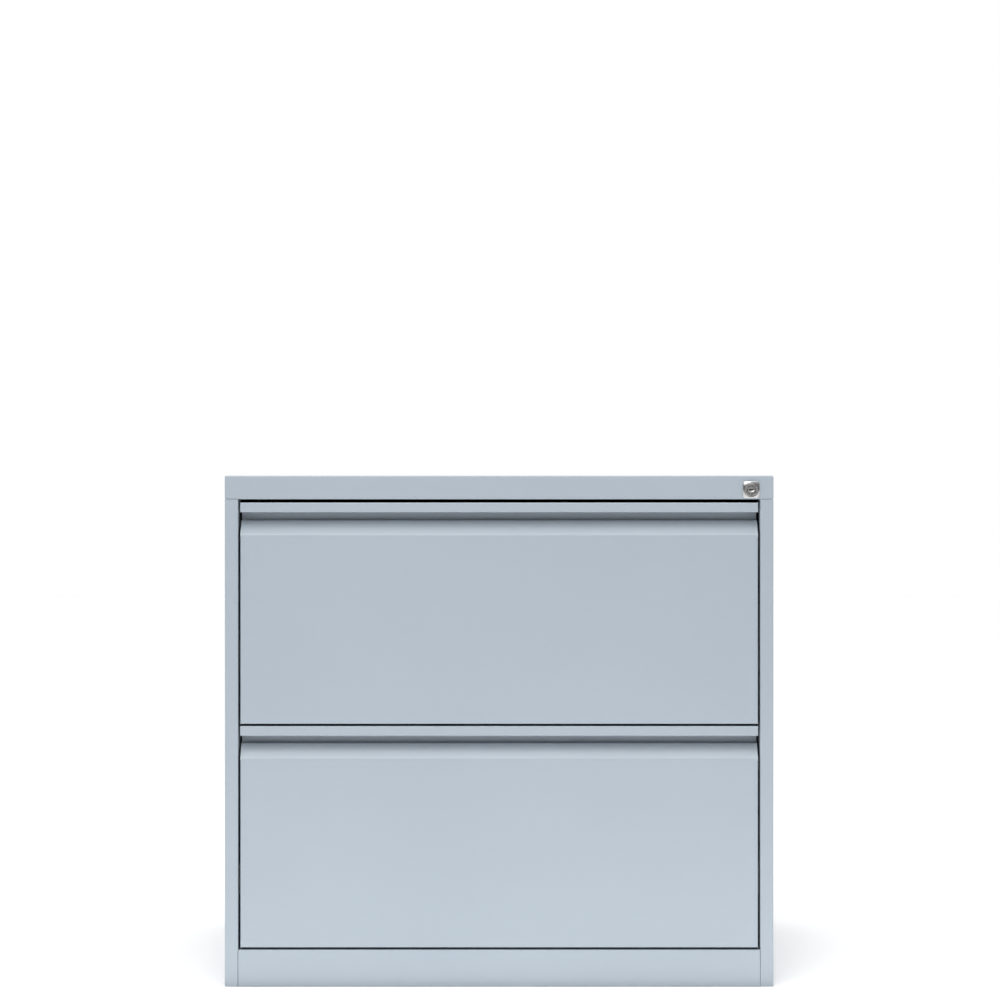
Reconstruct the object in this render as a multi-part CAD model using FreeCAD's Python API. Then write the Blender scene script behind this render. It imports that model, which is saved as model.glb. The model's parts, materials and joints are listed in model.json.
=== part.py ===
import FreeCAD, Part
import math
import os

# Two-drawer filing cabinet of folded sheet steel, in millimetres.
# The origin is on the floor under the middle of the cabinet: +Z is up, the front faces -Y, and +X is
# on the right of someone who stands in front of it.

Vector = FreeCAD.Vector

# Overall size
cabinet_width = 787.0
cabinet_depth = 590.0
cabinet_height = 733.0

# Front layout
rail_height = 34.0
plinth_height = 53.0
stile_width = 19.2
front_side_gap = 3.1
front_gap = 3.2
rail_gap = 4.6
seam = 0.2

# Sheet metal
panel_sheet = 1.0
drawer_sheet = 0.9
upright_sheet = 1.5
bend_radius = 1.0
flange = 15.0
flange_end = 5.0
stile_return = 18.0
plinth_return = 25.0
base_flange = 25.0

# Drawer front with its grip channel
front_thickness = 28.0
lip_height = 14.0
lip_hem = 5.0
grip_wall = 12.5
grip_slope = 20.0
grip_slope_depth = 18.0
grip_bend = 3.0
liner_inset = 2.2
liner_margin = 4.0

# Drawer box
box_rise = 14.0
box_rear_room = 28.0
box_flange = 12.8
file_rail_drop = 53.5
file_rail_height = 6.0
centre_rail_width = 36.0
centre_rail_height = 24.0

# Slides
slide_sheet = 1.2
slide_thickness = 12.7
slide_rise = 95.0
slide_front_room = 31.0
slide_rear_room = 15.0
outer_half_height = 23.0
ball_room = 4.0
ball_clearance = 0.15
middle_offset = 2.2
outer_reach = 10.5
outer_lip = 2.6
middle_reach = 11.2
inner_start = 5.0
inner_lip = 1.8
cage_length = 200.0
cage_width = 4.4
cage_sheet = 1.2
ball_pitch = 80.0
balls_per_row = 3
ball_sides = 6
ball_cap = 0.5

# Uprights that carry the slides
upright_width = 30.0
upright_brim = 10.0
upright_front_room = 53.0

# Rubber buffers behind the drawers
buffer_radius = 8.0
buffer_sides = 8
buffer_gap = 0.3
buffer_offset = 250.0
buffer_rise = 120.0

# Levelling feet
foot_inset_x = 43.5
foot_inset_y = 55.0
foot_width = 27.0
foot_pad = 5.0
stud_radius = 4.0
stud_top = 46.0
driver_slot_width = 1.4
driver_slot_depth = 2.5
access_radius = 7.0
thread_clearance = 0.3
bracket_sheet = 2.0
bracket_height = 24.0
bracket_drop = 18.0
bracket_length = 60.0
bracket_reach = 67.5
nut_width = 13.0
nut_height = 6.5

# Lock
lock_from_side = 32.2
lock_from_top = 20.4
escutcheon_width = 24.0
escutcheon_thickness = 1.6
escutcheon_corner = 4.0
escutcheon_edge = 1.1
boss_radius = 10.5
boss_proud = 3.4
boss_edge = 1.1
barrel_radius = 9.5
barrel_length = 30.0
barrel_clearance = 0.25
plug_radius = 6.0
plug_clearance = 0.3
plug_recess = 0.6
plug_edge = 0.5
key_slot_width = 8.5
key_slot_height = 2.0
key_slot_depth = 9.0
lock_nut_width = 22.0
lock_nut_height = 5.0
cam_gap = 0.5
cam_sheet = 2.2
cam_half_width = 5.5
cam_pin_radius = 2.5
crank_radius = 8.0
crank_angle = 45.0
bar_sheet = 2.0
bar_width = 11.0
bar_from_side = 3.5
bar_top_room = 11.0
arm_gap = 0.3
arm_height = 15.0
arm_overhang = 7.0
pin_clearance = 0.5
finger_height = 14.0
finger_end_gap = 1.7
finger_lift = 3.0
guide_height = 12.0
guide_wall = 2.7
guide_clearance = 0.3
guide_drop = 55.0
strike_drop = 70.0
strike_height = 22.0
strike_width = 4.5
strike_side_gap = 1.2
strike_notch = 5.0
strike_notch_depth = 10.0
strike_tail = 3.5

# Places worked out from the sizes above
half_width = cabinet_width / 2
front_y = -cabinet_depth / 2
rear_y = cabinet_depth / 2
web_x = half_width - panel_sheet
cap_bottom = cabinet_height - rail_height
opening_half = half_width - stile_width
front_half = opening_half - front_side_gap
front_height = (cap_bottom - plinth_height - rail_gap - 2 * front_gap) / 2
stile_end = front_y + stile_return
back_inner = rear_y - 2 * panel_sheet
base_top = plinth_height - panel_sheet
liner_front = front_y + front_thickness
liner_back = liner_front + drawer_sheet
box_rear = rear_y - box_rear_room
slide_x = opening_half + slide_sheet
box_half = slide_x - slide_thickness
slide_front = front_y + slide_front_room
slide_rear = rear_y - slide_rear_room
slide_middle_y = (slide_front + slide_rear) / 2
middle_half_height = outer_half_height - slide_sheet - ball_room
inner_half_height = middle_half_height - slide_sheet - ball_room
upright_front = front_y + upright_front_room
lock_x = half_width - lock_from_side
lock_z = cabinet_height - lock_from_top
barrel_end = front_y + barrel_length
cam_front = barrel_end + cam_gap
arm_front = cam_front + cam_sheet + arm_gap
bar_front = arm_front + bar_sheet
finger_front = bar_front + bar_sheet
bar_outer = web_x - bar_from_side
bar_inner = bar_outer - bar_width
pin_x = lock_x + crank_radius * math.cos(math.radians(crank_angle))
pin_z = lock_z + crank_radius * math.sin(math.radians(crank_angle))
bar_travel = 2 * (pin_z - lock_z)

# The floor of each drawer front
front_bottom = {
    "lower": plinth_height + front_gap,
    "upper": plinth_height + 2 * front_gap + front_height,
}

foot_x = half_width - foot_inset_x
foot_y = rear_y - foot_inset_y
foot_places = {
    "front_left": (-foot_x, -foot_y),
    "front_right": (foot_x, -foot_y),
    "rear_left": (-foot_x, foot_y),
    "rear_right": (foot_x, foot_y),
}
thread_bore = stud_radius + thread_clearance

X_AXIS = Vector(1, 0, 0)
Y_AXIS = Vector(0, 1, 0)
Z_AXIS = Vector(0, 0, 1)
ORIGIN = Vector(0, 0, 0)

pieces = {}


# Shape helpers
def block(x0, x1, y0, y1, z0, z1):
    """A box between two opposite corners."""
    return Part.makeBox(x1 - x0, y1 - y0, z1 - z0, Vector(x0, y0, z0))


def mirrored(shape):
    """The same shape on the other side of the cabinet."""
    return shape.mirror(ORIGIN, X_AXIS)


def on_plane(axis, u, v):
    """A point of a flat profile that is square to the given axis."""
    if axis == X_AXIS:
        return Vector(0, u, v)
    if axis == Y_AXIS:
        return Vector(u, 0, v)
    return Vector(u, v, 0)


def rounded_corner(before, here, after, radius):
    """Start, middle and end of the arc that rounds one corner."""
    to_before = (before - here).normalize()
    to_after = (after - here).normalize()
    half_angle = to_before.getAngle(to_after) / 2
    reach = radius / math.tan(half_angle)
    depth = radius / math.sin(half_angle) - radius
    bisector = (to_before + to_after).normalize()
    return here + to_before * reach, here + bisector * depth, here + to_after * reach


def prism(corners, axis, start, end, flats=False):
    """A closed profile of (u, v, corner radius) points, pulled along an axis from start to end.

    With flats, each rounded corner is drawn as two flats.
    """
    points = [on_plane(axis, u, v) for u, v, radius in corners]
    arcs = []
    for index, here in enumerate(points):
        radius = corners[index][2]
        after = points[(index + 1) % len(points)]
        if radius > 0:
            arcs.append(rounded_corner(points[index - 1], here, after, radius))
        else:
            arcs.append((here, None, here))
    edges = []
    for index, (arc_start, arc_middle, arc_end) in enumerate(arcs):
        if arc_middle is not None and flats:
            edges.append(Part.LineSegment(arc_start, arc_middle).toShape())
            edges.append(Part.LineSegment(arc_middle, arc_end).toShape())
        elif arc_middle is not None:
            edges.append(Part.Arc(arc_start, arc_middle, arc_end).toShape())
        next_start = arcs[(index + 1) % len(arcs)][0]
        edges.append(Part.LineSegment(arc_end, next_start).toShape())
    face = Part.Face(Part.Wire(edges))
    face.translate(axis * start)
    solid = face.extrude(axis * (end - start))
    if solid.Volume < 0:
        solid.reverse()
    return solid


def folded(outline, thickness, axis, start, end, radii=None, flats=False):
    """A folded sheet: the outline of one face, with the metal on its left, pulled along an axis.

    radii gives the inside bend radius at chosen points of the outline, where it isn't the usual one.
    """
    radii = radii or {}
    points = [Vector(u, v, 0) for u, v in outline]
    runs = [(points[i + 1] - points[i]).normalize() for i in range(len(points) - 1)]
    lefts = [Vector(-run.y, run.x, 0) for run in runs]
    near = [(points[0].x, points[0].y, 0)]
    far_end = points[0] + lefts[0] * thickness
    far = [(far_end.x, far_end.y, 0)]
    for i in range(1, len(points) - 1):
        inside = radii.get(i, bend_radius)
        turn = runs[i - 1].cross(runs[i]).z
        shift = (lefts[i - 1] + lefts[i]) * (thickness / (1 + lefts[i - 1].dot(lefts[i])))
        other = points[i] + shift
        near_radius = inside + thickness if turn > 0 else inside
        far_radius = inside if turn > 0 else inside + thickness
        near.append((points[i].x, points[i].y, near_radius))
        far.append((other.x, other.y, far_radius))
    near.append((points[-1].x, points[-1].y, 0))
    far_end = points[-1] + lefts[-1] * thickness
    far.append((far_end.x, far_end.y, 0))
    return prism(near + far[::-1], axis, start, end, flats)


def hidden_fold(outline, thickness, axis, start, end):
    """A folded sheet inside the cabinet, where two flats stand for each bend."""
    return folded(outline, thickness, axis, start, end, flats=True)


def polygon_bar(sides, width, axis, u, v, start, end):
    """A bar with a regular section of an even number of sides, given its width across flats."""
    corner = width / 2 / math.cos(math.pi / sides)
    turns = [math.pi / sides * (2 * i + 1) for i in range(sides)]
    corners = [(u + corner * math.cos(a), v + corner * math.sin(a), 0) for a in turns]
    return prism(corners, axis, start, end)


def eased(solid, y, size):
    """The solid with the edges that lie in one plane square to Y broken."""
    rim = [edge for edge in solid.Edges if abs(edge.CenterOfMass.y - y) < Part.Precision.confusion()]
    return solid.makeChamfer(size, rim)


# Carcass
def side_panel():
    """Right side: stile return, stile, web and rear flange in one fold, with flanges top and bottom."""
    outline = [
        (opening_half, stile_end),
        (opening_half, front_y),
        (half_width, front_y),
        (half_width, rear_y),
        (half_width - flange, rear_y),
    ]
    panel = folded(outline, panel_sheet, Z_AXIS, 0, cap_bottom)
    flange_x = half_width - flange
    flange_front = upright_front - upright_brim
    flange_rear = rear_y - flange_end
    for z in (0, cap_bottom - panel_sheet):
        panel = panel.fuse(block(flange_x, web_x, flange_front, flange_rear, z, z + panel_sheet))
    return panel.removeSplitter()


def level_edges(solid):
    """The edges of a block that aren't upright."""
    return [edge for edge in solid.Edges if edge.BoundBox.ZLength < edge.Length / 2]


def top_panel():
    """Cap with the front rail band: a shallow tray upside down, with a return flange all round."""
    outer = block(-half_width, half_width, front_y, rear_y, cap_bottom, cabinet_height)
    outer = outer.makeFillet(bend_radius + panel_sheet, level_edges(outer))
    inner_y = rear_y - panel_sheet
    ceiling = cabinet_height - panel_sheet
    inner = block(-web_x, web_x, -inner_y, inner_y, cap_bottom + panel_sheet, ceiling)
    inner = inner.makeFillet(bend_radius, level_edges(inner))
    mouth_x = half_width - flange - panel_sheet
    mouth_rear = rear_y - flange - panel_sheet
    mouth = block(-mouth_x, mouth_x, stile_end, mouth_rear, cap_bottom, cap_bottom + 2 * panel_sheet)
    notch_x = web_x - 2 * bend_radius
    notch_rear = upright_front - upright_brim
    notch = block(-notch_x, notch_x, stile_end, notch_rear, cap_bottom, cap_bottom + 2 * panel_sheet)
    bore = Part.makeCylinder(barrel_radius + barrel_clearance, 3 * panel_sheet,
                             Vector(lock_x, front_y - panel_sheet, lock_z), Y_AXIS)
    return outer.cut([inner, mouth, notch, bore])


def back_panel():
    """Rear sheet inside the side panels' rear flanges, with flanges top and bottom."""
    face = rear_y - panel_sheet
    flange_half = half_width - flange - panel_sheet
    outline = [(face - flange, 0), (face, 0), (face, cap_bottom), (face - flange, cap_bottom)]
    tray = hidden_fold(outline, panel_sheet, X_AXIS, -flange_half, flange_half)
    web_half = web_x - panel_sheet
    inset = bend_radius + panel_sheet
    web = block(-web_half, web_half, back_inner, face, inset, cap_bottom - inset)
    edge = block(flange_half, web_half, back_inner, face, 0, cap_bottom)
    return tray.fuse([web, edge, mirrored(edge)]).removeSplitter()


def base_panel():
    """Floor of the cabinet: a channel between the sides, with a tongue under the plinth's flange.

    A hole over each foot lets a screwdriver reach its stud.
    """
    low = base_top - base_flange
    outline = [(-web_x, low), (-web_x, base_top), (web_x, base_top), (web_x, low)]
    start = stile_end + panel_sheet
    channel = hidden_fold(outline[::-1], panel_sheet, Y_AXIS, start, back_inner)
    tongue_half = opening_half - 2 * panel_sheet
    tongue_front = front_y + 5 * panel_sheet
    tongue = block(-tongue_half, tongue_half, tongue_front, start, base_top - panel_sheet, base_top)
    holes = []
    for x, y in foot_places.values():
        holes.append(Part.makeCylinder(access_radius, base_top, Vector(x, y, 0)))
    return channel.fuse(tongue).removeSplitter().cut(holes)


def plinth_front():
    """Channel between the stiles, from the floor up to the lower drawer."""
    outline = [
        (front_y + plinth_return, plinth_height),
        (front_y, plinth_height),
        (front_y, 0),
        (front_y + flange, 0),
    ]
    half = opening_half - seam
    return folded(outline, panel_sheet, X_AXIS, -half, half)


def upright(front):
    """Right-hand hat channel on the side panel that carries the slides."""
    rear = front + upright_width
    brim_x = web_x - upright_sheet
    outline = [
        (brim_x, rear + upright_brim),
        (brim_x, rear),
        (slide_x, rear),
        (slide_x, front),
        (brim_x, front),
        (brim_x, front - upright_brim),
    ]
    return hidden_fold(outline, upright_sheet, Z_AXIS, base_top, cap_bottom - panel_sheet)


def buffers():
    """Rubber stops on the back panel, two behind each drawer."""
    length = back_inner - box_rear - buffer_gap
    stops = []
    for bottom in front_bottom.values():
        for x in (-buffer_offset, buffer_offset):
            stops.append(polygon_bar(buffer_sides, 2 * buffer_radius, Y_AXIS, x, bottom + buffer_rise,
                                     back_inner - length, back_inner))
    return Part.makeCompound(stops)


# Levelling feet
def foot_brackets():
    """Corner angles on the side panels, each with a hole for a foot's stud."""
    outline = [
        (web_x, bracket_height - bracket_drop),
        (web_x, bracket_height),
        (web_x - bracket_reach, bracket_height),
    ]
    brackets = []
    for y in (-foot_y, foot_y):
        half = bracket_length / 2
        bracket = hidden_fold(outline, bracket_sheet, Y_AXIS, y - half, y + half)
        hole = Part.makeCylinder(thread_bore, bracket_height, Vector(foot_x, y, 0))
        bracket = bracket.cut(hole)
        brackets += [bracket, mirrored(bracket)]
    return Part.makeCompound(brackets)


def foot_nuts():
    """Weld nuts on the corner brackets."""
    nuts = []
    for x, y in foot_places.values():
        nut = polygon_bar(6, nut_width, Z_AXIS, x, y, bracket_height, bracket_height + nut_height)
        nuts.append(nut.cut(Part.makeCylinder(thread_bore, nut_height, Vector(x, y, bracket_height))))
    return Part.makeCompound(nuts)


def levelling_foot(x, y):
    """Steel glide: a six-sided pad and a stud in one piece, with a screwdriver slot on top."""
    pad = polygon_bar(6, foot_width, Z_AXIS, x, y, 0, foot_pad)
    stud = Part.makeCylinder(stud_radius, stud_top - foot_pad, Vector(x, y, foot_pad))
    half_slot = driver_slot_width / 2
    slot = block(x - stud_radius, x + stud_radius, y - half_slot, y + half_slot,
                 stud_top - driver_slot_depth, stud_top)
    return pad.fuse(stud).removeSplitter().cut(slot)


# Slides, made for the right side: depth is measured inwards from the upright
def channel_section(depth_web, depth_tip, half_height, centre):
    """Points of a channel from its lower tip round the web to its upper tip."""
    web = slide_x - depth_web
    tip = slide_x - depth_tip
    return [
        (tip, centre - half_height),
        (web, centre - half_height),
        (web, centre + half_height),
        (tip, centre + half_height),
    ]


def lipped(section, rise):
    """The section with both tips turned up by a lip that keeps the balls in; a negative rise turns in."""
    (tip, low), (tip, high) = section[0], section[-1]
    return [(tip, low - rise)] + section + [(tip, high + rise)]


def slide_outer(centre):
    """Member screwed to the uprights, with its lips turned in round the outer balls."""
    outline = lipped(channel_section(0, outer_reach, outer_half_height, centre), -outer_lip)
    return hidden_fold(outline, slide_sheet, Y_AXIS, slide_front, slide_rear)


def slide_middle(centre):
    """Member that runs between the two rows of balls."""
    outline = channel_section(middle_offset, middle_reach, middle_half_height, centre)
    return hidden_fold(outline, slide_sheet, Y_AXIS, slide_front, slide_rear)


def slide_inner(centre):
    """Member screwed to the drawer, with its lips turned out round the inner balls."""
    outline = lipped(channel_section(slide_thickness, inner_start, inner_half_height, centre), inner_lip)
    return hidden_fold(outline[::-1], slide_sheet, Y_AXIS, slide_front, slide_rear)


def bearing_ball():
    """Ball at the origin, with a ring of flat facets above and below its widest part."""
    radius = ball_room / 2 - ball_clearance
    rings = []
    for z, reach in ((-radius, radius * ball_cap), (0, radius), (radius, radius * ball_cap)):
        turns = [2 * math.pi * i / ball_sides for i in range(ball_sides + 1)]
        rings.append(Part.makePolygon([Vector(reach * math.cos(a), reach * math.sin(a), z) for a in turns]))
    return Part.makeLoft(rings, True, True)


def ball_cage(centre, ball_rise, ball_depth):
    """Strips with bearing balls above and below the slide's middle, on both sides of a drawer."""
    x = slide_x - ball_depth
    rows = []
    for z in (centre - ball_rise, centre + ball_rise):
        row = block(
            x - cage_width / 2, x + cage_width / 2,
            slide_middle_y - cage_length / 2, slide_middle_y + cage_length / 2,
            z - cage_sheet / 2, z + cage_sheet / 2,
        )
        balls = []
        for i in range(balls_per_row):
            y = slide_middle_y + (i - (balls_per_row - 1) / 2) * ball_pitch
            balls.append(bearing_ball().translated(Vector(x, y, z)))
        row = row.fuse(balls)
        rows += [row, mirrored(row)]
    return Part.makeCompound(rows)


# Drawers
def front_panel(bottom):
    """One folded sheet: lip, grip channel open at both ends, face, and returns round the face.

    The channel has a back wall, a level shelf in front of it, and a slope from the shelf to the face.
    """
    top = bottom + front_height
    grip_top = top - lip_height - grip_wall
    grip_bottom = grip_top - grip_slope
    face = front_y + drawer_sheet
    outline = [
        (liner_front, bottom + drawer_sheet),
        (face, bottom + drawer_sheet),
        (face, grip_bottom),
        (front_y + grip_slope_depth, grip_top),
        (liner_front, grip_top),
        (liner_front, top),
        (front_y, top),
        (front_y, top - lip_height),
        (front_y + lip_hem, top - lip_height),
    ]
    panel = folded(outline, drawer_sheet, X_AXIS, -front_half, front_half, {2: grip_bend})
    bend = bend_radius + drawer_sheet
    low = bottom + bend
    high = grip_bottom - grip_bend
    corner = block(front_half - bend, front_half, front_y, face, low, high)
    return_edge = [(front_half - 2 * bend, front_y), (front_half, front_y), (front_half, liner_front)]
    side = folded(return_edge, drawer_sheet, Z_AXIS, low, high)
    return panel.cut([corner, mirrored(corner)]).fuse([side, mirrored(side)]).removeSplitter()


def front_liner(bottom):
    """Flat sheet that closes the back of the front and carries the box."""
    half = front_half - liner_inset
    top = bottom + front_height - liner_margin
    return block(-half, half, liner_front, liner_back, bottom + liner_margin, top)


def drawer_side(bottom):
    """Right box side: bottom flange, web, and a top flange turned up as a hanging-file rail."""
    low = bottom + box_rise
    rail_top = bottom + front_height - file_rail_drop
    shelf = rail_top - file_rail_height
    inner = box_half - box_flange
    outline = [(inner, low), (box_half, low), (box_half, shelf), (inner, shelf), (inner, rail_top)]
    return hidden_fold(outline, drawer_sheet, Y_AXIS, liner_back, box_rear)


def drawer_bottom(bottom):
    """Sheet that lies on the bottom flanges of the box sides, inside their bends."""
    half = box_half - drawer_sheet - bend_radius - seam
    low = bottom + box_rise + drawer_sheet
    return block(-half, half, liner_back, box_rear, low, low + drawer_sheet)


def drawer_rear(bottom):
    """Rear wall that stands on the bottom sheet, folded forward top and bottom."""
    low = bottom + box_rise + 2 * drawer_sheet
    high = bottom + front_height - file_rail_drop - centre_rail_height
    half = box_half - drawer_sheet - seam
    front = box_rear - box_flange
    outline = [(front, low), (box_rear, low), (box_rear, high), (front, high)]
    return hidden_fold(outline, drawer_sheet, X_AXIS, -half, half)


def centre_rail(bottom):
    """Channel from the liner to the top of the rear wall, whose lips hang the inner file hooks."""
    high = bottom + front_height - file_rail_drop
    low = high - centre_rail_height
    half = centre_rail_width / 2
    outline = [(-half, high), (-half, low), (half, low), (half, high)]
    return hidden_fold(outline, drawer_sheet, Y_AXIS, liner_back, box_rear)


def lock_strike(bottom):
    """Block on the back of the liner, with a notch for the lock finger."""
    top = bottom + front_height - strike_drop
    x0 = box_half + strike_side_gap
    finger_middle = finger_front + bar_sheet / 2
    rear = finger_middle + strike_notch / 2 + strike_tail
    body = block(x0, x0 + strike_width, liner_back, rear, top - strike_height, top)
    notch = block(x0, x0 + strike_width, finger_middle - strike_notch / 2, finger_middle + strike_notch / 2,
                  top - strike_notch_depth, top)
    return body.cut(notch)


# Lock
def lock_cylinder(radius, start, end):
    """A round of the lock, along its axis."""
    return Part.makeCylinder(radius, end - start, Vector(lock_x, start, lock_z), Y_AXIS)


def square_plate(width, corner, start, end):
    """A square plate round the lock's axis, with rounded corners."""
    half = width / 2
    corners = [
        (lock_x - half, lock_z - half, corner),
        (lock_x + half, lock_z - half, corner),
        (lock_x + half, lock_z + half, corner),
        (lock_x - half, lock_z + half, corner),
    ]
    return prism(corners, Y_AXIS, start, end)


boss_front = front_y - boss_proud
plug_bore = plug_radius + plug_clearance


def lock_housing():
    """Escutcheon, raised boss and barrel of the lock in one casting."""
    plate_front = front_y - escutcheon_thickness
    plate = square_plate(escutcheon_width, escutcheon_corner, plate_front, front_y)
    plate = eased(plate, plate_front, escutcheon_edge)
    boss = eased(lock_cylinder(boss_radius, boss_front, front_y), boss_front, boss_edge)
    barrel = lock_cylinder(barrel_radius, front_y, barrel_end)
    bore = lock_cylinder(plug_bore, boss_front, barrel_end)
    return plate.fuse([boss, barrel]).removeSplitter().cut(bore)


def lock_nut():
    """Square nut that clamps the lock to the rail band."""
    start = front_y + panel_sheet
    end = start + lock_nut_height
    nut = square_plate(lock_nut_width, 0, start, end)
    return nut.cut(lock_cylinder(barrel_radius, start, end))


def lock_plug():
    """Turning plug with a horizontal key slot."""
    start = boss_front + plug_recess
    plug = eased(lock_cylinder(plug_radius, start, cam_front), start, plug_edge)
    half_slot = key_slot_height / 2
    slot = block(lock_x - key_slot_width / 2, lock_x + key_slot_width / 2, start, start + key_slot_depth,
                 lock_z - half_slot, lock_z + half_slot)
    return plug.cut(slot)


def lock_cam():
    """Crank plate on the rear of the plug, with a pin that works the lock bar."""
    end = cam_front + cam_sheet
    plate = lock_cylinder(cam_half_width, cam_front, end)
    tip = Part.makeCylinder(cam_half_width, cam_sheet, Vector(pin_x, cam_front, pin_z), Y_AXIS)
    low = lock_z - cam_half_width
    arm = block(lock_x, lock_x + crank_radius, cam_front, end, low, low + 2 * cam_half_width)
    arm.rotate(Vector(lock_x, 0, lock_z), Y_AXIS, -crank_angle)
    pin = Part.makeCylinder(cam_pin_radius, arm_gap + bar_sheet, Vector(pin_x, end, pin_z), Y_AXIS)
    return plate.fuse([tip, arm, pin]).removeSplitter()


def finger_bottom(bottom):
    """Height of a lock finger's lower edge while the lock is open."""
    return bottom + front_height - strike_drop + finger_lift


def guide_middle(bottom):
    return bottom + front_height - strike_drop - guide_drop


def lock_bar():
    """Flat bar behind the right stile that slides down to lock both drawers."""
    low = guide_middle(front_bottom["lower"]) - guide_height
    high = cabinet_height - bar_top_room
    return block(bar_inner, bar_outer, bar_front, bar_front + bar_sheet, low, high)


def lock_bar_arm():
    """Plate on the front of the bar with a level slot for the cam's pin."""
    start = lock_x - arm_overhang
    arm = block(start, bar_outer, arm_front, bar_front, pin_z - arm_height / 2, pin_z + arm_height / 2)
    reach = cam_pin_radius + pin_clearance
    slot_start = pin_x - reach
    slot_end = lock_x + crank_radius + reach
    slot = block(slot_start, slot_end, arm_front, bar_front, pin_z - reach, pin_z + reach)
    return arm.cut(slot)


def lock_finger(bottom):
    """Plate on the rear of the bar that reaches over one drawer's strike."""
    low = finger_bottom(bottom)
    start = box_half + finger_end_gap
    return block(start, bar_outer, finger_front, finger_front + bar_sheet, low, low + finger_height)


def lock_bar_guides():
    """Plastic guides on the right side panel that the lock bar slides in."""
    guides = []
    for bottom in front_bottom.values():
        low = guide_middle(bottom) - guide_height / 2
        body = block(bar_inner - guide_wall, web_x, bar_front - guide_wall, finger_front + guide_wall,
                     low, low + guide_height)
        gap = block(bar_inner - guide_clearance, bar_outer + guide_clearance, bar_front - guide_clearance,
                    finger_front + guide_clearance, low, low + guide_height)
        guides.append(body.cut(gap))
    return Part.makeCompound(guides)


# Assembly
def add_pair(name, right_shape):
    """A right-hand piece and its mirror image on the left."""
    pieces[name + "_right"] = right_shape
    pieces[name + "_left"] = mirrored(right_shape)


def add_carcass():
    add_pair("side_panel", side_panel())
    pieces["top_panel"] = top_panel()
    pieces["back_panel"] = back_panel()
    pieces["base_panel"] = base_panel()
    pieces["plinth_front"] = plinth_front()
    add_pair("front_upright", upright(upright_front))
    add_pair("rear_upright", upright(-upright_front - upright_width))
    pieces["drawer_buffers"] = buffers()
    pieces["foot_brackets"] = foot_brackets()
    pieces["foot_nuts"] = foot_nuts()
    for corner, (x, y) in foot_places.items():
        pieces["foot_" + corner] = levelling_foot(x, y)


def add_drawer(level):
    bottom = front_bottom[level]
    centre = bottom + slide_rise
    pieces[level + "_front_panel"] = front_panel(bottom)
    pieces[level + "_front_liner"] = front_liner(bottom)
    add_pair(level + "_drawer_side", drawer_side(bottom))
    pieces[level + "_drawer_bottom"] = drawer_bottom(bottom)
    pieces[level + "_drawer_rear"] = drawer_rear(bottom)
    pieces[level + "_centre_rail"] = centre_rail(bottom)
    pieces[level + "_lock_strike"] = lock_strike(bottom)
    add_pair(level + "_slide_outer", slide_outer(centre))
    add_pair(level + "_slide_middle", slide_middle(centre))
    add_pair(level + "_slide_inner", slide_inner(centre))
    outer_rise = middle_half_height + ball_room / 2
    inner_rise = inner_half_height + ball_room / 2
    outer_depth = (slide_sheet + outer_reach) / 2
    inner_depth = (middle_offset + slide_sheet + middle_reach) / 2
    pieces[level + "_outer_ball_cages"] = ball_cage(centre, outer_rise, outer_depth)
    pieces[level + "_inner_ball_cages"] = ball_cage(centre, inner_rise, inner_depth)


def add_lock():
    pieces["lock_housing"] = lock_housing()
    pieces["lock_nut"] = lock_nut()
    pieces["lock_plug"] = lock_plug()
    pieces["lock_cam"] = lock_cam()
    pieces["lock_bar"] = lock_bar()
    pieces["lock_bar_arm"] = lock_bar_arm()
    for level, bottom in front_bottom.items():
        pieces["lock_finger_" + level] = lock_finger(bottom)
    pieces["lock_bar_guides"] = lock_bar_guides()


add_carcass()
for level in front_bottom:
    add_drawer(level)
add_lock()

os.makedirs("parts", exist_ok=True)
for name, shape in pieces.items():
    shape.exportStep("parts/" + name + ".step")
print(len(pieces), "pieces, lock bar travel", round(bar_travel, 3), "mm")
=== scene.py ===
import json
import math

import bpy
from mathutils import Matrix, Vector


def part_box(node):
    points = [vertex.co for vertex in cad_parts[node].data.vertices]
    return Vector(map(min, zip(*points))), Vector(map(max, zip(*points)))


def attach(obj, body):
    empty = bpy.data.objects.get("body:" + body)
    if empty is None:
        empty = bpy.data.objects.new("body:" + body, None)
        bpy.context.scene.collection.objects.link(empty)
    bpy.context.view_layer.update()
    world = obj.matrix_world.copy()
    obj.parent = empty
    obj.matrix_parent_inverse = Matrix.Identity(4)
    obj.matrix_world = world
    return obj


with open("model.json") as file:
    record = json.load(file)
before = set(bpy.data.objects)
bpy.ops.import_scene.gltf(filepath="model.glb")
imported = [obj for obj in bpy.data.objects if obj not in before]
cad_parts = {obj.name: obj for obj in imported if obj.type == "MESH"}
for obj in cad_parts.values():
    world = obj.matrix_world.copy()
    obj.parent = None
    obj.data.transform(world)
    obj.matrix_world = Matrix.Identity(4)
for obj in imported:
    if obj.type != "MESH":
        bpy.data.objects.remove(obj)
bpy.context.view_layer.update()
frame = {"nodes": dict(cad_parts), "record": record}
nodes = frame["nodes"]
scene = bpy.context.scene

# View of the photograph, in metres: it looks level at the front, with the cabinet low in the picture
PHOTO_PIXELS = 1000
METRES_PER_PIXEL = 0.001434
PHOTO_TOP_EDGE = 475.6
PHOTO_MIDDLE_X = 499.15
CAMERA_DISTANCE = 3.8
SENSOR_WIDTH = 36.0
CAMERA_REACH = 100.0

# Light
SKY_LOW = 0.22
SKY_HIGH = 2.45
SKY_FOCUS = 3.0
BACKDROP = 1.0

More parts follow.
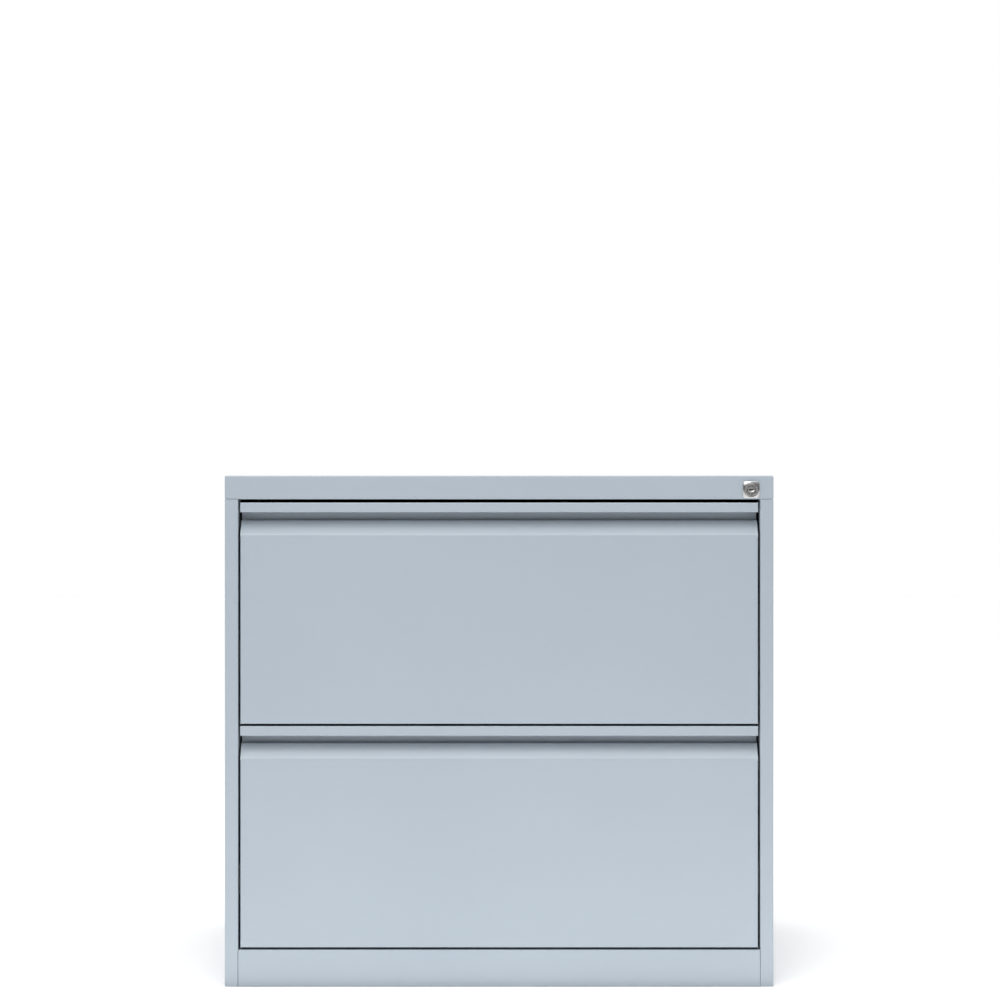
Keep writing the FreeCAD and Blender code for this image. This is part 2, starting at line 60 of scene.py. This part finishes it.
# Soft lights: place, target, power in watts, size and spread in degrees
KEY_LIGHT = ((-0.5, -2.9, 2.8), (0.0, -0.4, 0.4), 7.4, (2.4, 2.1), 70.0)
TOP_LIGHT = ((0.0, -1.7, 3.4), (0.0, -0.3, 0.5), 6.4, (2.8, 1.2), 90.0)
FLOOR_LIGHT = ((0.0, -0.59, 0.003), (0.0, -0.59, 1.0), 1.7, (1.6, 0.56), 180.0)

FLOOR_COLOUR = (0.95, 0.95, 0.95, 1.0)
FLOOR_ROUGHNESS = 0.9
FLOOR_SIZE = 30.0

# The part of a noise's range that is in use
NOISE_LOW = 0.3
NOISE_HIGH = 0.7

# Finishes: two near colours that a noise mixes
PAINT_COLOURS = ((0.351, 0.402, 0.454, 1.0), (0.363, 0.415, 0.466, 1.0))
ZINC_COLOURS = ((0.40, 0.41, 0.42, 1.0), (0.52, 0.53, 0.54, 1.0))
CHROME_COLOURS = ((0.52, 0.52, 0.515, 1.0), (0.62, 0.62, 0.615, 1.0))
PLASTIC_COLOURS = ((0.016, 0.016, 0.018, 1.0), (0.026, 0.026, 0.028, 1.0))
RUBBER_COLOURS = ((0.014, 0.014, 0.014, 1.0), (0.022, 0.021, 0.020, 1.0))

# Faces that meet at more than this angle, in degrees, have a sharp edge between them
SHARP_ANGLE = 40

# Sheet thicknesses that the pieces below stand on
SLIDE_SHEET = 0.0012
DRAWER_SHEET = 0.0009

# Blind rivets: the head's profile is in shares of its radius and height
RIVET_RADIUS = 0.0042
RIVET_HEIGHT = 0.0014
RIVET_PROFILE = (
    (1.00, -0.05), (1.00, 0.22), (0.95, 0.42), (0.84, 0.64), (0.67, 0.84),
    (0.46, 0.97), (0.34, 1.00), (0.28, 0.94), (0.26, 0.55), (0.10, 0.50),
)
RIVET_STEPS = 24
SLIDE_RIVET_SHARES = (0.06, 0.28, 0.50, 0.72, 0.94)
BACK_RIVET_COUNT = 7
BACK_RIVET_INSET = 0.0075
BACK_RIVET_MARGIN = 0.030

# Stitch welds in the corners of the drawer boxes
WELD_RADIUS = 0.0020
WELD_LENGTH = 0.020
WELD_RIPPLE = 0.0022
WELD_RIPPLE_SHARE = 0.10
WELD_END_SHARE = 0.02
WELD_BLUNTNESS = 0.35
WELD_COUNT = 4
WELD_STEPS = 40
WELD_ARC_STEPS = 6

# Threads on the levelling feet: half widths of the ridge are shares of the pitch
THREAD_PITCH = 0.00125
THREAD_HEIGHT = 0.00024
THREAD_FOOT_SHARE = 0.42
THREAD_CREST_SHARE = 0.08
THREAD_END_SHARE = 0.05
THREAD_STEPS = 24
STUD_RADIUS = 0.0040
FOOT_PAD = 0.0050
DRIVER_SLOT_DEPTH = 0.0025

# Black shutter in the keyway, painted shade that stands for the keyway's dark depth, and the rim round
# it: half width, half height and rise of each ring
KEYWAY_WIDTH = 0.0085
KEYWAY_HEIGHT = 0.0020
KEYWAY_SINK = 0.0011
SHADE_SHUTTER_GAP = 0.00012
SHADE_SHUTTER_THICKNESS = 0.0008
SHADE_SHUTTER_FLAT_SHARE = 0.94
SHADE_SHUTTER_END_SINK = 0.0002
COLLAR_RINGS = (
    (0.00440, 0.00115, 0.00002), (0.00455, 0.00180, 0.00006), (0.00486, 0.00270, 0.00050),
    (0.00496, 0.00290, 0.00055), (0.00508, 0.00310, 0.00050), (0.00525, 0.00335, 0.0),
    (0.00525, 0.00335, -0.0001), (0.00440, 0.00115, -0.0001),
)
COLLAR_STEPS = 48
COLLAR_TOP_SHARE = -0.15

# Crowned face of the lock's square plate: its edge is pairs of inset and drop
PLATE_THICKNESS = 0.0016
PLATE_CORNER = 0.0040
PLATE_SKIN = 0.00003
BOSS_PROUD = 0.0034
BOSS_RADIUS = 0.0105
CROWN_HEIGHT = 0.0015
CROWN_EDGE = ((0.0, 0.00045), (0.00013, 0.00013), (0.00045, 0.0))
CROWN_SHARES = (0.35, 0.7, 1.0)
CROWN_STEPS = 96

# Release levers of the slides: the section is in shares of thickness and half width
LEVER_LENGTH = 0.070
LEVER_WIDTH = 0.0075
LEVER_THICKNESS = 0.0022
LEVER_SHARE = 0.62
LEVER_STEPS = 28
LEVER_SWAY = 0.0022
LEVER_WAIST = 0.55
LEVER_SWELL_POWER = 1.5
LEVER_END_WIDTH = 0.6
LEVER_END_THICKNESS = 0.7
LEVER_SECTION = ((0.0, -1.0), (0.75, -1.0), (1.0, -0.7), (1.0, 0.7), (0.75, 1.0), (0.0, 1.0))


# Materials
class Shader:
    """A material with its node tree and principled shader, and short ways to add nodes."""

    def __init__(self, name):
        self.material = bpy.data.materials.new(name)
        self.material.use_nodes = True
        self.tree = self.material.node_tree
        self.surface = self.tree.nodes["Principled BSDF"]
        self.place = self.add("ShaderNodeTexCoord").outputs["Object"]

    def add(self, kind, **values):
        node = self.tree.nodes.new(kind)
        for name, value in values.items():
            setattr(node, name, value)
        return node

    def join(self, output, socket):
        self.tree.links.new(output, socket)

    def noise(self, scale, detail=2.0, stretch=(1.0, 1.0, 1.0)):
        """Noise over the object, with its cells drawn out along an axis where stretch is small."""
        mapping = self.add("ShaderNodeMapping")
        mapping.inputs["Scale"].default_value = stretch
        self.join(self.place, mapping.inputs["Vector"])
        texture = self.add("ShaderNodeTexNoise")
        texture.inputs["Scale"].default_value = scale
        texture.inputs["Detail"].default_value = detail
        self.join(mapping.outputs["Vector"], texture.inputs["Vector"])
        return texture.outputs["Fac"]

    def spread(self, value, low, high):
        """The middle of a noise's range, spread from low to high."""
        node = self.add("ShaderNodeMapRange")
        node.inputs["From Min"].default_value = NOISE_LOW
        node.inputs["From Max"].default_value = NOISE_HIGH
        node.inputs["To Min"].default_value = low
        node.inputs["To Max"].default_value = high
        self.join(value, node.inputs["Value"])
        return node.outputs["Result"]

    def colours(self, value, pair):
        """The base colour runs between two colours with the value."""
        mix = self.add("ShaderNodeMix", data_type="RGBA")
        colour_inputs = [socket for socket in mix.inputs if socket.type == "RGBA"]
        colour_inputs[0].default_value = pair[0]
        colour_inputs[1].default_value = pair[1]
        self.join(self.spread(value, 0.0, 1.0), mix.inputs["Factor"])
        colour_outputs = [socket for socket in mix.outputs if socket.type == "RGBA"]
        self.join(colour_outputs[0], self.surface.inputs["Base Color"])

    def roughness(self, value, low, high):
        self.join(self.spread(value, low, high), self.surface.inputs["Roughness"])

    def bump(self, value, depth):
        """Raises the surface by up to depth, in metres."""
        node = self.add("ShaderNodeBump")
        node.inputs["Distance"].default_value = depth
        self.join(value, node.inputs["Height"])
        self.join(node.outputs["Normal"], self.surface.inputs["Normal"])


def powder_coat():
    """Satin powder coat: orange-peel bump, and slow change of shade and gloss."""
    shader = Shader("powder_coat")
    shader.colours(shader.noise(scale=3.0), PAINT_COLOURS)
    shader.roughness(shader.noise(scale=60.0, detail=4.0), low=0.30, high=0.37)
    shader.bump(shader.noise(scale=650.0), depth=0.00003)
    shader.surface.inputs["Specular IOR Level"].default_value = 0.55
    return shader.material


def zinc_plate():
    """Rolled steel with bright zinc: streaks along the strip and a cloudy shade."""
    shader = Shader("zinc_plate")
    shader.colours(shader.noise(scale=45.0, detail=5.0), ZINC_COLOURS)
    streaks = shader.noise(scale=900.0, detail=3.0, stretch=(1.0, 0.02, 1.0))
    shader.roughness(streaks, low=0.26, high=0.44)
    shader.bump(streaks, depth=0.00002)
    shader.surface.inputs["Metallic"].default_value = 1.0
    return shader.material


def satin_chrome():
    """Satin chrome plate with fine handling scratches."""
    shader = Shader("satin_chrome")
    shader.colours(shader.noise(scale=220.0, detail=3.0), CHROME_COLOURS)
    scratches = shader.noise(scale=1500.0, detail=4.0, stretch=(0.2, 1.0, 1.0))
    shader.roughness(scratches, low=0.12, high=0.24)
    shader.bump(scratches, depth=0.00001)
    shader.surface.inputs["Metallic"].default_value = 1.0
    return shader.material


def moulded_plastic():
    """Black moulded plastic with a fine spark-eroded grain."""
    shader = Shader("moulded_plastic")
    grain = shader.noise(scale=1800.0, detail=3.0)
    shader.colours(grain, PLASTIC_COLOURS)
    shader.roughness(grain, low=0.5, high=0.65)
    shader.bump(grain, depth=0.00005)
    return shader.material


def buffer_rubber():
    """Dull black rubber with a dusty bloom."""
    shader = Shader("buffer_rubber")
    shader.colours(shader.noise(scale=90.0, detail=4.0), RUBBER_COLOURS)
    shader.roughness(shader.noise(scale=300.0, detail=3.0), low=0.7, high=0.9)
    shader.bump(shader.noise(scale=1200.0), depth=0.00006)
    return shader.material


SLOT_MATERIALS = {
    "cabinet_paint": powder_coat(),
    "zinc_steel": zinc_plate(),
    "lock_chrome": satin_chrome(),
    "black_plastic": moulded_plastic(),
    "buffer_rubber": buffer_rubber(),
}


def finish_nodes():
    """Gives every CAD node the material of its slot in the record."""
    for part in frame["record"]["subparts"]:
        mesh = nodes[part["node"]].data
        mesh.materials.clear()
        mesh.materials.append(SLOT_MATERIALS[part["material_slot"]])


# Mesh pieces
class Piece:
    """Points and faces of one piece, in metres in the cabinet's frame."""

    def __init__(self):
        self.points = []
        self.faces = []

    def rings(self, rings):
        """Joins rings of equally many points in a row, and closes both ends."""
        count = len(rings[0])
        starts = self.add_rings(rings)
        for here, other in zip(starts, starts[1:]):
            self.add_band(here, other, count)
        first = starts[0]
        last = starts[-1]
        self.faces.append(tuple(range(first + count - 1, first - 1, -1)))
        self.faces.append(tuple(range(last, last + count)))

    def hoop(self, rings):
        """Joins rings of equally many points in a row, and the last ring to the first."""
        starts = self.add_rings(rings)
        for here, other in zip(starts, starts[1:] + starts[:1]):
            self.add_band(here, other, len(rings[0]))

    def add_rings(self, rings):
        """Adds the rings' points, and says where each ring starts."""
        starts = []
        for ring in rings:
            starts.append(len(self.points))
            self.points.extend(Vector(point) for point in ring)
        return starts

    def add_band(self, here, other, count):
        """Faces between two rings, given where each starts."""
        for j in range(count):
            after = (j + 1) % count
            self.faces.append((here + j, here + after, other + after, other + j))

    def turned(self, profile, place, axis, steps):
        """Turns a profile of (radius, height) points round an axis through a place."""
        place = Vector(place)
        axis = Vector(axis).normalized()
        side = axis.orthogonal().normalized()
        across = axis.cross(side)
        rings = []
        for radius, height in profile:
            ring = []
            for step in range(steps):
                turn = 2 * math.pi * step / steps
                outward = side * math.cos(turn) + across * math.sin(turn)
                ring.append(place + axis * height + outward * radius)
            rings.append(ring)
        self.rings(rings)

    def mirrored(self):
        """The same piece on the other side of the cabinet."""
        other = Piece()
        other.points = [Vector((-point.x, point.y, point.z)) for point in self.points]
        other.faces = [face[::-1] for face in self.faces]
        return other

    def place(self, name, body, slot):
        """Makes the mesh object, gives it its slot's finish, and lets it move with a body."""
        mesh = bpy.data.meshes.new(name)
        mesh.from_pydata(self.points, [], self.faces)
        mesh.validate()
        for polygon in mesh.polygons:
            polygon.use_smooth = True
        mesh.set_sharp_from_angle(angle=math.radians(SHARP_ANGLE))
        mesh.materials.append(SLOT_MATERIALS[slot])
        item = bpy.data.objects.new(name, mesh)
        scene.collection.objects.link(item)
        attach(item, body)


def add_rivet(piece, place, axis):
    """Dome head of a blind rivet, with the hole that its broken stem leaves."""
    profile = [(radius * RIVET_RADIUS, height * RIVET_HEIGHT) for radius, height in RIVET_PROFILE]
    piece.turned(profile, place, axis, RIVET_STEPS)


def slide_rivets(level):
    """Rivets through the right inner slide member and the drawer, with a head on each side."""
    piece = Piece()
    low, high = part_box(f"{level}_slide_inner_right")
    middle_z = (low.z + high.z) / 2
    for share in SLIDE_RIVET_SHARES:
        y = low.y + share * (high.y - low.y)
        add_rivet(piece, (low.x + SLIDE_SHEET, y, middle_z), (1, 0, 0))
        add_rivet(piece, (low.x - DRAWER_SHEET, y, middle_z), (-1, 0, 0))
    return piece


def back_rivets():
    """Rivets through the right side's rear flange into the back panel."""
    piece = Piece()
    low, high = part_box("side_panel_right")
    first = low.z + BACK_RIVET_MARGIN
    spacing = (high.z - low.z - 2 * BACK_RIVET_MARGIN) / (BACK_RIVET_COUNT - 1)
    for index in range(BACK_RIVET_COUNT):
        add_rivet(piece, (high.x - BACK_RIVET_INSET, high.y, first + index * spacing), (0, 1, 0))
    return piece


def add_weld(piece, corner_x, corner_y, start_z, facing):
    """One rippled stitch up an inside corner on the right, that bulges left and along facing in Y."""
    rings = []
    for step in range(WELD_STEPS + 1):
        share = step / WELD_STEPS
        inner_share = min(max(share, WELD_END_SHARE), 1 - WELD_END_SHARE)
        taper = math.sin(math.pi * inner_share) ** WELD_BLUNTNESS
        ripple = 1 + WELD_RIPPLE_SHARE * math.sin(2 * math.pi * share * WELD_LENGTH / WELD_RIPPLE)
        radius = WELD_RADIUS * taper * ripple
        z = start_z + share * WELD_LENGTH
        ring = [(corner_x, corner_y, z)]
        for arc in range(WELD_ARC_STEPS + 1):
            turn = math.pi / 2 * arc / WELD_ARC_STEPS
            x = corner_x - radius * math.cos(turn)
            y = corner_y + facing * radius * math.sin(turn)
            ring.append((x, y, z))
        rings.append(ring if facing > 0 else ring[::-1])
    piece.rings(rings)


def corner_welds(level):
    """Stitch welds that join the right box side to the liner and to the rear wall."""
    piece = Piece()
    low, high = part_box(f"{level}_drawer_side_right")
    rear_low, rear_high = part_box(f"{level}_drawer_rear")
    inner_x = high.x - DRAWER_SHEET
    rear_y = rear_high.y - DRAWER_SHEET
    spacing = (rear_high.z - rear_low.z - 2 * WELD_LENGTH) / WELD_COUNT
    for index in range(WELD_COUNT):
        z = rear_low.z + WELD_LENGTH + (index + 0.5) * spacing - WELD_LENGTH / 2
        add_weld(piece, inner_x, low.y, z, 1)
        add_weld(piece, inner_x, rear_y, z, -1)
    return piece


def stud_thread(foot):
    """Helical ridge up the stud of a levelling foot, between its pad and its screwdriver slot."""
    low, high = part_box(foot)
    centre = (low + high) / 2
    start = low.z + FOOT_PAD + THREAD_PITCH
    end = high.z - DRIVER_SLOT_DEPTH - THREAD_PITCH
    count = int((end - start) / THREAD_PITCH * THREAD_STEPS)
    rings = []
    for step in range(count + 1):
        turn = 2 * math.pi * step / THREAD_STEPS
        z = start + THREAD_PITCH * step / THREAD_STEPS
        turns_from_end = min(step, count - step) / THREAD_STEPS
        crest = THREAD_HEIGHT * min(1.0, turns_from_end + THREAD_END_SHARE)
        section = (
            (0.0, -THREAD_FOOT_SHARE), (crest, -THREAD_CREST_SHARE),
            (crest, THREAD_CREST_SHARE), (0.0, THREAD_FOOT_SHARE),
        )
        ring = []
        for height, rise in section:
            reach = STUD_RADIUS + height
            x = centre.x + reach * math.cos(turn)
            y = centre.y + reach * math.sin(turn)
            ring.append((x, y, z + rise * THREAD_PITCH))
        rings.append(ring)
    piece = Piece()
    piece.rings(rings)
    return piece


def keyway_shade_shutter():
    """Two black flaps that close the keyway, with slanted edges where they meet: painted shade that
    stands for the dark depth of the keyway.
    """
    piece = Piece()
    low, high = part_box("lock_plug")
    centre = (low + high) / 2
    front = low.y + KEYWAY_SINK
    half = KEYWAY_WIDTH / 2 - SHADE_SHUTTER_GAP
    for side in (-1, 1):
        outer = side * (KEYWAY_HEIGHT / 2 - SHADE_SHUTTER_GAP)
        inner = side * SHADE_SHUTTER_GAP
        slant = side * SHADE_SHUTTER_THICKNESS / 2
        rings = []
        for x in (-half, -half * SHADE_SHUTTER_FLAT_SHARE, half * SHADE_SHUTTER_FLAT_SHARE, half):
            sink = SHADE_SHUTTER_END_SINK if abs(x) == half else 0.0
            profile = [
                (front + sink, outer),
                (front + sink, inner + slant),
                (front + SHADE_SHUTTER_THICKNESS / 2, inner),
                (front + SHADE_SHUTTER_THICKNESS, inner),
                (front + SHADE_SHUTTER_THICKNESS, outer),
            ]
            ring = [(centre.x + x, y, centre.z + z) for y, z in profile]
            rings.append(ring if side > 0 else ring[::-1])
        piece.rings(rings)
    return piece


def keyway_collar():
    """Oval rim round the keyway, highest below it, whose inner slope guides the key's tip."""
    low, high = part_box("lock_plug")
    centre = (low + high) / 2
    rings = []
    for half_width, half_height, rise in COLLAR_RINGS[::-1]:
        ring = []
        for step in range(COLLAR_STEPS):
            turn = 2 * math.pi * step / COLLAR_STEPS
            share = COLLAR_TOP_SHARE + (1 - COLLAR_TOP_SHARE) * (1 - math.sin(turn)) / 2
            x = centre.x + half_width * math.cos(turn)
            z = centre.z + half_height * math.sin(turn)
            ring.append((x, low.y - rise * share, z))
        rings.append(ring)
    piece = Piece()
    piece.hoop(rings)
    return piece


def plate_reach(half, turn):
    """Distance from the middle of the lock's rounded square plate to its edge, in one direction."""
    along = abs(math.cos(turn))
    up = abs(math.sin(turn))
    flat = half - PLATE_CORNER
    reach = half / max(along, up)
    if reach * min(along, up) <= flat:
        return reach
    corner = flat * (along + up)
    return corner + math.sqrt(corner ** 2 - 2 * flat ** 2 + PLATE_CORNER ** 2)


def escutcheon_crown():
    """Low dome over the lock's square plate, from its edges up to the round boss."""
    piece = Piece()
    low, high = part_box("lock_housing")
    centre = (low + high) / 2
    half = (high.x - low.x) / 2 + PLATE_SKIN
    base = low.y + BOSS_PROUD
    corner_reach = plate_reach(half, math.pi / 4)
    boss_share = (BOSS_RADIUS / corner_reach) ** 2
    turns = [2 * math.pi * step / CROWN_STEPS for step in range(CROWN_STEPS)]
    edges = [plate_reach(half, turn) for turn in turns]

    def ring(reaches, drop):
        points = []
        for turn, reach in zip(turns, reaches):
            rise = CROWN_HEIGHT * (1 - (reach / corner_reach) ** 2) / (1 - boss_share)
            y = base - PLATE_THICKNESS - PLATE_SKIN - rise + drop
            points.append((centre.x + reach * math.cos(turn), y, centre.z + reach * math.sin(turn)))
        return points

    rings = [[(x, base, z) for x, y, z in ring(edges, 0.0)]]
    for inset, drop in CROWN_EDGE:
        rings.append(ring([edge - inset for edge in edges], drop))
    last_inset = CROWN_EDGE[-1][0]
    for share in CROWN_SHARES:
        reaches = [(edge - last_inset) * (1 - share) + BOSS_RADIUS * share for edge in edges]
        rings.append(ring(reaches, 0.0))
    rings.append([(x, base, z) for x, y, z in rings[-1]])
    piece.hoop(rings)
    return piece


def slide_lever(level):
    """Release lever in the right inner member: a bent bar, wide at its ends and narrow between them."""
    piece = Piece()
    low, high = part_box(f"{level}_slide_inner_right")
    base_x = low.x + SLIDE_SHEET
    start_y = low.y + LEVER_SHARE * (high.y - low.y)
    middle_z = (low.z + high.z) / 2
    rings = []
    for step in range(LEVER_STEPS + 1):
        turn = 2 * math.pi * step / LEVER_STEPS
        y = start_y + step / LEVER_STEPS * LEVER_LENGTH
        z = middle_z + LEVER_SWAY * math.sin(turn)
        swell = LEVER_WAIST + (1 - LEVER_WAIST) * ((math.cos(turn) + 1) / 2) ** LEVER_SWELL_POWER
        half = LEVER_WIDTH / 2 * swell
        thick = LEVER_THICKNESS
        if step in (0, LEVER_STEPS):
            half *= LEVER_END_WIDTH
            thick *= LEVER_END_THICKNESS
        rings.append([(base_x + depth * thick, y, z + rise * half) for depth, rise in LEVER_SECTION])
    piece.rings(rings)
    return piece


def place_pair(piece, name, body, slot):
    piece.place(f"{name}_right", body, slot)
    piece.mirrored().place(f"{name}_left", body, slot)


def add_details():
    """Fasteners, welds, threads and small mouldings."""
    for level in ("upper", "lower"):
        drawer = f"{level}_drawer"
        place_pair(slide_rivets(level), f"{level}_slide_rivets", drawer, "zinc_steel")
        place_pair(corner_welds(level), f"{level}_corner_welds", drawer, "cabinet_paint")
        place_pair(slide_lever(level), f"{level}_slide_lever", drawer, "black_plastic")
    place_pair(back_rivets(), "back_rivets", "carcass", "cabinet_paint")
    for corner in ("front_left", "front_right", "rear_left", "rear_right"):
        foot = f"foot_{corner}"
        stud_thread(foot).place(f"{foot}_thread", f"levelling_{foot}", "zinc_steel")
    # Black flaps in the keyway: painted shade for the keyway's dark depth
    keyway_shade_shutter().place("keyway_shade_shutter", "lock_core", "black_plastic")
    keyway_collar().place("keyway_collar", "lock_core", "lock_chrome")
    escutcheon_crown().place("escutcheon_crown", "carcass", "lock_chrome")


# Stage
def make_floor():
    bpy.ops.mesh.primitive_plane_add(size=FLOOR_SIZE, location=(0, 0, 0))
    floor = bpy.context.object
    floor.name = "studio_floor"
    material = bpy.data.materials.new("studio_floor")
    material.use_nodes = True
    surface = material.node_tree.nodes["Principled BSDF"]
    surface.inputs["Base Color"].default_value = FLOOR_COLOUR
    surface.inputs["Roughness"].default_value = FLOOR_ROUGHNESS
    floor.data.materials.append(material)


def make_world():
    """White surroundings that light most from straight above, and are plain white to the camera."""
    world = bpy.data.worlds.new("studio")
    world.use_nodes = True
    tree = world.node_tree
    direction = tree.nodes.new("ShaderNodeSeparateXYZ")
    tree.links.new(tree.nodes.new("ShaderNodeTexCoord").outputs["Generated"], direction.inputs["Vector"])
    sky = tree.nodes.new("ShaderNodeMapRange")
    sky.inputs["To Min"].default_value = SKY_LOW
    sky.inputs["To Max"].default_value = SKY_HIGH
    rise = tree.nodes.new("ShaderNodeMath")
    rise.operation = "POWER"
    rise.inputs[1].default_value = SKY_FOCUS
    tree.links.new(direction.outputs["Z"], rise.inputs[0])
    tree.links.new(rise.outputs["Value"], sky.inputs["Value"])
    seen = tree.nodes.new("ShaderNodeMapRange")
    seen.inputs["To Max"].default_value = BACKDROP
    path = tree.nodes.new("ShaderNodeLightPath")
    tree.links.new(path.outputs["Is Camera Ray"], seen.inputs["Value"])
    tree.links.new(sky.outputs["Result"], seen.inputs["To Min"])
    background = tree.nodes["Background"]
    background.inputs["Color"].default_value = (1.0, 1.0, 1.0, 1.0)
    tree.links.new(seen.outputs["Result"], background.inputs["Strength"])
    scene.world = world


def aim(item, target):
    direction = Vector(target) - item.location
    item.rotation_euler = direction.to_track_quat("-Z", "Y").to_euler()


def make_light(name, place, target, power, size, spread):
    """A rectangular soft light that the camera doesn't see."""
    data = bpy.data.lights.new(name, "AREA")
    data.energy = power
    data.shape = "RECTANGLE"
    data.size, data.size_y = size
    data.spread = math.radians(spread)
    light = bpy.data.objects.new(name, data)
    light.location = place
    light.visible_camera = False
    scene.collection.objects.link(light)
    aim(light, target)


def make_camera():
    """Level camera whose picture centre is a little under the cabinet's top, as in the photograph."""
    data = bpy.data.cameras.new("photo_camera")
    data.sensor_width = SENSOR_WIDTH
    data.lens = SENSOR_WIDTH * CAMERA_DISTANCE / (METRES_PER_PIXEL * PHOTO_PIXELS)
    data.clip_end = CAMERA_REACH
    camera = bpy.data.objects.new("photo_camera", data)
    middle = PHOTO_PIXELS / 2
    front_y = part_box("top_panel")[0][1]
    top_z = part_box("top_panel")[1][2]
    camera.location = (
        (middle - PHOTO_MIDDLE_X) * METRES_PER_PIXEL,
        front_y - CAMERA_DISTANCE,
        top_z - (middle - PHOTO_TOP_EDGE) * METRES_PER_PIXEL,
    )
    camera.rotation_euler = (math.radians(90), 0, 0)
    scene.collection.objects.link(camera)
    scene.camera = camera


finish_nodes()
add_details()
make_floor()
make_world()
make_light("key_light", *KEY_LIGHT)
make_light("top_light", *TOP_LIGHT)
make_light("floor_light", *FLOOR_LIGHT)
make_camera()
scene.view_settings.view_transform = "Standard"
